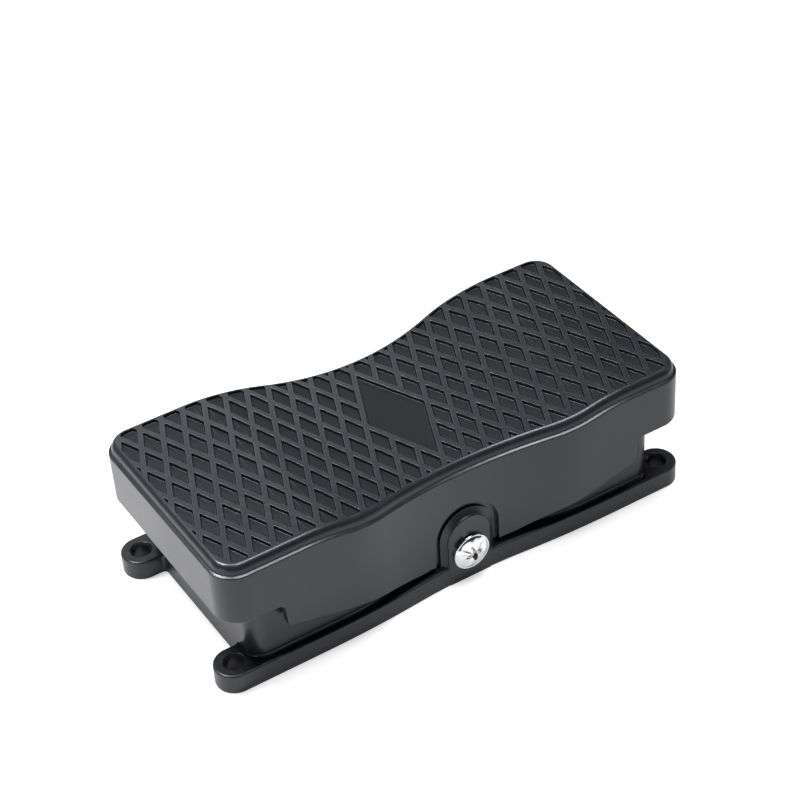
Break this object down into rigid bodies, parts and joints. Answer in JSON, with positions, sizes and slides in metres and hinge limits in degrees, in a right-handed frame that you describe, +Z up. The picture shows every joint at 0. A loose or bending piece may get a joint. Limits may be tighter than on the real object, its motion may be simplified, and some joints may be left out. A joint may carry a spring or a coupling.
{
  "type": "foot switch",
  "caption": "See-saw foot switch: a waisted treadle pedal with a diamond-grid tread rocks on a low screw-down housing and presses a snap-action switch at each end.",
  "frame": {"origin": "middle of the underside, midway between the four ear holes", "axes": "+X along the length, +Y across the width away from the long side with the front pivot screw, +Z up"},
  "size_m": [0.1406, 0.0646, 0.041],
  "materials": {
    "housing_plastic": "fine satin moulded thermoplastic, blue-grey black",
    "bright_screw": "bright nickel plate",
    "plated_steel": "zinc plate",
    "spring_steel": "drawn spring steel",
    "switch_plastic": "moulded phenolic",
    "plunger_plastic": "moulded acetal",
    "brass_contact": "bright brass",
    "block_plastic": "natural moulded nylon",
    "grommet_rubber": "soft moulded rubber",
    "clamp_plastic": "moulded nylon"
  },
  "bodies": {
    "base": {"base_housing": "housing_plastic", "pivot_screw_front": "bright_screw", "pivot_screw_rear": "bright_screw", "pivot_sleeve_front": "plated_steel", "pivot_sleeve_rear": "plated_steel", "pivot_nut_front": "plated_steel", "pivot_nut_rear": "plated_steel", "switch_case_left": "switch_plastic", "switch_case_right": "switch_plastic", "lever_pin_left": "plated_steel", "lever_pin_right": "plated_steel", "terminals_left": "brass_contact", "terminals_right": "brass_contact", "switch_screws_left": "plated_steel", "switch_screws_right": "plated_steel", "return_spring_left": "spring_steel", "return_spring_right": "spring_steel", "terminal_block": "block_plastic", "terminal_block_screws": "brass_contact", "cable_grommet": "grommet_rubber", "cable_clamp": "clamp_plastic", "cable_clamp_screws": "plated_steel"},
    "pedal": {"pedal_cover": "housing_plastic"},
    "lever_left": {"switch_lever_left": "spring_steel"},
    "lever_right": {"switch_lever_right": "spring_steel"},
    "plunger_left": {"switch_plunger_left": "plunger_plastic"},
    "plunger_right": {"switch_plunger_right": "plunger_plastic"}
  },
  "joints": [
    {"name": "pedal_tilt", "type": "hinge", "parent": "base", "child": "pedal", "pos_m": [0.0025, 0, 0.0092], "axis": [0, 1, 0], "range_deg": [-6, 6], "stiffness_Nm_per_rad": 0.86, "deforming": ["return_spring_left", "return_spring_right"]},
    {"name": "lever_left_swing", "type": "hinge", "parent": "base", "child": "lever_left", "pos_m": [-0.0475, 0, 0.0272], "axis": [0, 1, 0], "range_deg": [-8.95, 8.95]},
    {"name": "lever_right_swing", "type": "hinge", "parent": "base", "child": "lever_right", "pos_m": [0.0525, 0, 0.0272], "axis": [0, 1, 0], "range_deg": [-8.95, 8.95]},
    {"name": "plunger_left_slide", "type": "slide", "parent": "base", "child": "plunger_left", "axis": [0, 0, 1], "range_m": [-0.00102, 0.00102]},
    {"name": "plunger_right_slide", "type": "slide", "parent": "base", "child": "plunger_right", "axis": [0, 0, 1], "range_m": [-0.00102, 0.00102]}
  ],
  "couplings": [
    {"joint": "lever_left_swing", "follows": "pedal_tilt", "ratio": -1.48},
    {"joint": "lever_right_swing", "follows": "pedal_tilt", "ratio": -1.48},
    {"joint": "plunger_left_slide", "follows": "pedal_tilt", "m_per_rad": 0.0096},
    {"joint": "plunger_right_slide", "follows": "pedal_tilt", "m_per_rad": -0.0096}
  ]
}
